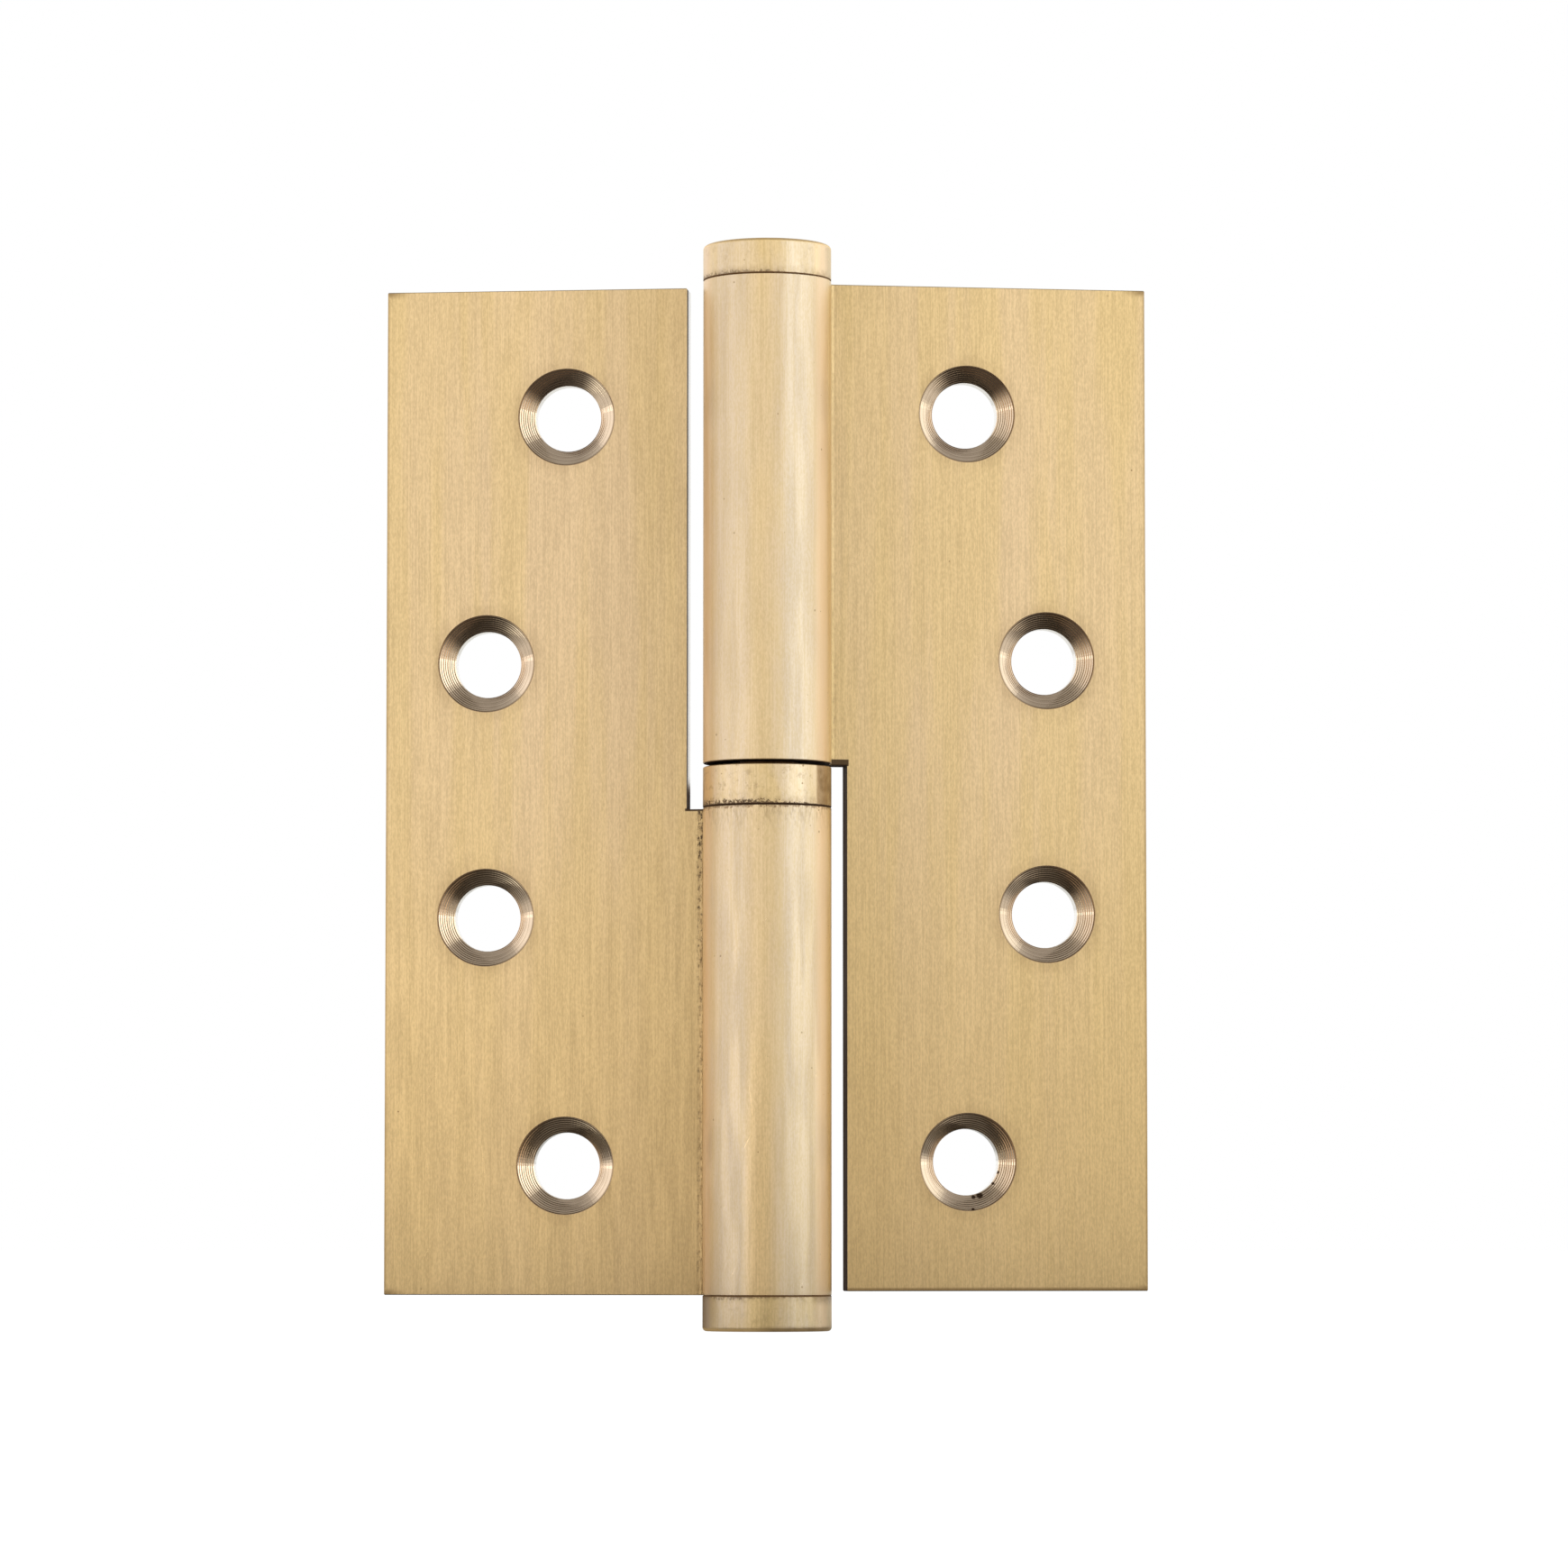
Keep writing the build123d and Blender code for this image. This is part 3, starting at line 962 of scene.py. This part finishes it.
class HINGE_OT_turn_ring(bpy.types.Operator):
    """Turns the bearing ring between the knuckles"""
    bl_idname = "hinge.turn_ring"
    bl_label = "Turn Bearing Ring"

    def execute(self, context):
        sizes, finish = context.scene.hinge_sizes, context.scene.brass_finish
        material = barrel_piece_material(
            "ring_brass", seam_height=ring_low.z, seam_side=1.0, reach=0.8,
            seam_colour=finish.grime_and_shade, right_darkening=0.86, left_darkening=0.0, end=None, finish=finish)
        ring = made_by_nodes("turned_ring", turned_piece(), ring_points(sizes), {
            "Segments": sizes.segments, "Axis": (pin_axis.x, pin_axis.y, 0.0),
            "Material": material})
        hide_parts("bearing_ring")
        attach(ring, "ring")
        return {"FINISHED"}


class HINGE_OT_turn_caps(bpy.types.Operator):
    """Turns the button caps on the ends of the barrel"""
    bl_idname = "hinge.turn_caps"
    bl_label = "Turn Caps"

    def execute(self, context):
        sizes, finish = context.scene.hinge_sizes, context.scene.brass_finish
        free_bore = sizes.pin_radius + sizes.running_clearance
        caps = (("top_cap", "door_leaf", upper_high.z, top_end, free_bore, 0.0),
                ("bottom_cap", "frame_leaf", lower_low.z, bottom_end, sizes.pin_radius, 0.95))
        for cap_node, body, seat, end, stem_radius, left_darkening in caps:
            outward = math.copysign(1.0, end)
            material = barrel_piece_material(
                cap_node + "_brass", seam_height=seat, seam_side=outward, reach=0.5,
                seam_colour=finish.seam_brown, right_darkening=0.0, left_darkening=left_darkening, end=end,
                finish=finish)
            points = cap_points(sizes, seat, outward, abs(end - seat), stem_radius)
            cap = made_by_nodes("turned_" + cap_node, turned_piece(), points, {
                "Segments": sizes.segments, "Axis": (pin_axis.x, pin_axis.y, 0.0),
                "Material": material})
            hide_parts(cap_node)
            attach(cap, body)
        return {"FINISHED"}


class HINGE_OT_grind_pin(bpy.types.Operator):
    """Grinds the steel pin"""
    bl_idname = "hinge.grind_pin"
    bl_label = "Grind Pin"

    def execute(self, context):
        dress("hinge_pin", steel_material("ground_steel", context.scene.brass_finish))
        return {"FINISHED"}


def either(factor, first, second):
    """Two shaders mixed by a factor."""
    return out_of(factor.tree, "ShaderNodeMixShader", {0: factor, 1: first, 2: second})


def white_world():
    """A white background, softer as diffuse light and with a grey ceiling in what mirrors it."""
    world = bpy.data.worlds.new("white_studio")
    tree = emptied(world)
    height = split(out_of(tree, "ShaderNodeTexCoord", socket="Generated"))[2]
    ceiling = mixed(ramp(height, 0.4, 0.9), WHITE, (0.46, 0.46, 0.46, 1.0))
    soft, white, mirrored = (
        out_of(tree, "ShaderNodeBackground", {"Color": colour, "Strength": strength})
        for colour, strength in ((WHITE, 0.8), (WHITE, 1.0), (ceiling, 1.0)))
    path = by_name(tree.nodes.new("ShaderNodeLightPath").outputs)
    plain = either(most(path["Is Camera Ray"], path["Is Transmission Ray"]), soft, white)
    node(tree, "ShaderNodeOutputWorld", {"Surface": either(path["Is Glossy Ray"], plain, mirrored)})
    return world


def floor_material(colour):
    """A pale floor that is white to the camera and keeps its shadow; to other rays it has painted shade under and
    along the hinge and a painted glow round the barrel's foot.
    """
    material, tree = new_material("pale_floor")

    def lit(matt, glow, strength):
        """A matt colour with a glow added to it."""
        return out_of(tree, "ShaderNodeAddShader", {
            0: out_of(tree, "ShaderNodeBsdfDiffuse", {"Color": matt}),
            1: out_of(tree, "ShaderNodeEmission", {"Color": glow, "Strength": strength})})

    place = out_of(tree, "ShaderNodeTexCoord", socket="Object")
    off_pin = vector_maths("SUBTRACT", place, (pin_axis.x, pin_axis.y, cad_box[0][2]))
    under = distance(off_pin)
    # Painted shade on the floor under and along the hinge, which only rays other than the camera's see
    around = mixed(ramp(under, 0.10, 0.30), shaded(colour, 0.55), colour)
    along_leaves = distance(scaled(off_pin, (0.6, 3.0, 1.0)))
    graded = mixed(ramp(along_leaves, 0.068, 0.13), (0.15, 0.138, 0.12, 1.0), around)
    # A painted glow round the barrel's foot, which only rays other than the camera's see
    foot = mixed(ramp(under, 0.007, 0.012), (1.0, 0.97, 0.92, 1.0), BLACK)
    camera = out_of(tree, "ShaderNodeLightPath", socket="Is Camera Ray")
    seen = either(camera, lit(graded, foot, 0.3), lit((0.12, 0.12, 0.12, 1.0), WHITE, 0.95))
    node(tree, "ShaderNodeOutputMaterial", {"Surface": seen})
    return material


def softbox(name, azimuth, elevation, away, width, height, watts, colour):
    """A soft rectangular lamp that faces the hinge, its azimuth to the right of the front."""
    lamp = bpy.data.lights.new(name, "AREA")
    lamp.shape = "RECTANGLE"
    lamp.size, lamp.size_y = width, height
    lamp.energy = watts
    lamp.color = colour[:3]
    made = bpy.data.objects.new(name, lamp)
    bpy.context.scene.collection.objects.link(made)
    turn, rise = math.radians(azimuth), math.radians(elevation)
    out = Vector((
        math.sin(turn) * math.cos(rise), -math.cos(turn) * math.cos(rise), math.sin(rise)))
    made.location = pin_axis + out * away
    made.rotation_euler = out.to_track_quat("Z", "Y").to_euler()


class HINGE_OT_set_studio(bpy.types.Operator):
    """Sets the floor, the white background, the lamps and the camera"""
    bl_idname = "hinge.set_studio"
    bl_label = "Set Studio"

    def execute(self, context):
        scene, studio = context.scene, context.scene.studio_set
        scene.world = white_world()

        reach, level = studio.floor_reach, cad_box[0][2]
        mesh = bpy.data.meshes.new("floor")
        mesh.from_pydata([(-reach, -reach, level), (reach, -reach, level), (reach, reach, level),
                          (-reach, reach, level)], [], [(0, 1, 2, 3)])
        mesh.materials.append(floor_material(studio.floor_colour))
        floor = bpy.data.objects.new("floor", mesh)
        scene.collection.objects.link(floor)

        # Name, azimuth, elevation, distance, width, height, power and colour of each lamp
        left, right, strip = studio.left_colour, studio.right_colour, studio.strip_watts
        lamps = (
            ("left_softbox", -57, 14, 1.1, 2.0, 1.3, studio.left_watts, left),
            ("left_low_strip", -48, -0.7, 0.8, 1.2, 0.08, studio.low_watts, left),
            ("right_softbox", 78, 14, 1.1, 2.0, 1.3, studio.right_watts, right),
            ("right_strip", 64, 8, 0.9, 0.14, 1.0, strip, studio.strip_colour),
            ("right_low_strip", 84, -0.7, 0.8, 1.2, 0.08, 0.5 * studio.low_watts, right),
            ("left_back_strip", -122, 8, 1.0, 0.8, 1.0, 2.6 * strip, left),
            ("right_back_strip", 122, 8, 1.0, 0.5, 1.0, 2.1 * strip, right),
            ("top_softbox", 6, 27, 1.3, 1.3, 1.0, studio.top_watts, WHITE),
        )
        for lamp in lamps:
            softbox(*lamp)

        lens = bpy.data.cameras.new("camera")
        lens.sensor_width = studio.sensor_width
        lens.lens = studio.focal_length
        lens.clip_start = 0.01
        camera = bpy.data.objects.new("camera", lens)
        camera.location = studio.camera_place
        look = Vector(studio.camera_target) - Vector(studio.camera_place)
        camera.rotation_euler = look.to_track_quat("-Z", "Y").to_euler()
        scene.collection.objects.link(camera)
        scene.camera = camera
        scene.view_settings.view_transform = "Standard"
        return {"FINISHED"}


class HINGE_PT_sidebar(bpy.types.Panel):
    """Lists the hinge's sizes, finishes and steps"""
    bl_idname = "HINGE_PT_sidebar"
    bl_label = "Lift-off Hinge"
    bl_space_type = "VIEW_3D"
    bl_region_type = "UI"
    bl_category = "Hinge"

    def draw(self, context):
        layout, scene = self.layout, context.scene
        for group in (scene.hinge_sizes, scene.brass_finish, scene.studio_set):
            box = layout.box()
            for name in group.__annotations__:
                box.prop(group, name)
        for step in steps:
            layout.operator(step.bl_idname)


groups = (("hinge_sizes", HingeSizes), ("brass_finish", BrassFinish), ("studio_set", StudioSet))
steps = (HINGE_OT_dress_leaves, HINGE_OT_cut_countersinks, HINGE_OT_turn_ring, HINGE_OT_turn_caps,
         HINGE_OT_grind_pin, HINGE_OT_set_studio)


def register():
    for name, group in groups:
        bpy.utils.register_class(group)
        setattr(bpy.types.Scene, name, PointerProperty(type=group))
    for step in steps:
        bpy.utils.register_class(step)
    bpy.utils.register_class(HINGE_PT_sidebar)


def unregister():
    bpy.utils.unregister_class(HINGE_PT_sidebar)
    for step in reversed(steps):
        bpy.utils.unregister_class(step)
    for name, group in reversed(groups):
        delattr(bpy.types.Scene, name)
        bpy.utils.unregister_class(group)


def main():
    register()
    bpy.ops.hinge.dress_leaves()
    bpy.ops.hinge.cut_countersinks()
    bpy.ops.hinge.turn_ring()
    bpy.ops.hinge.turn_caps()
    bpy.ops.hinge.grind_pin()
    bpy.ops.hinge.set_studio()


if __name__ == "__main__":
    main()
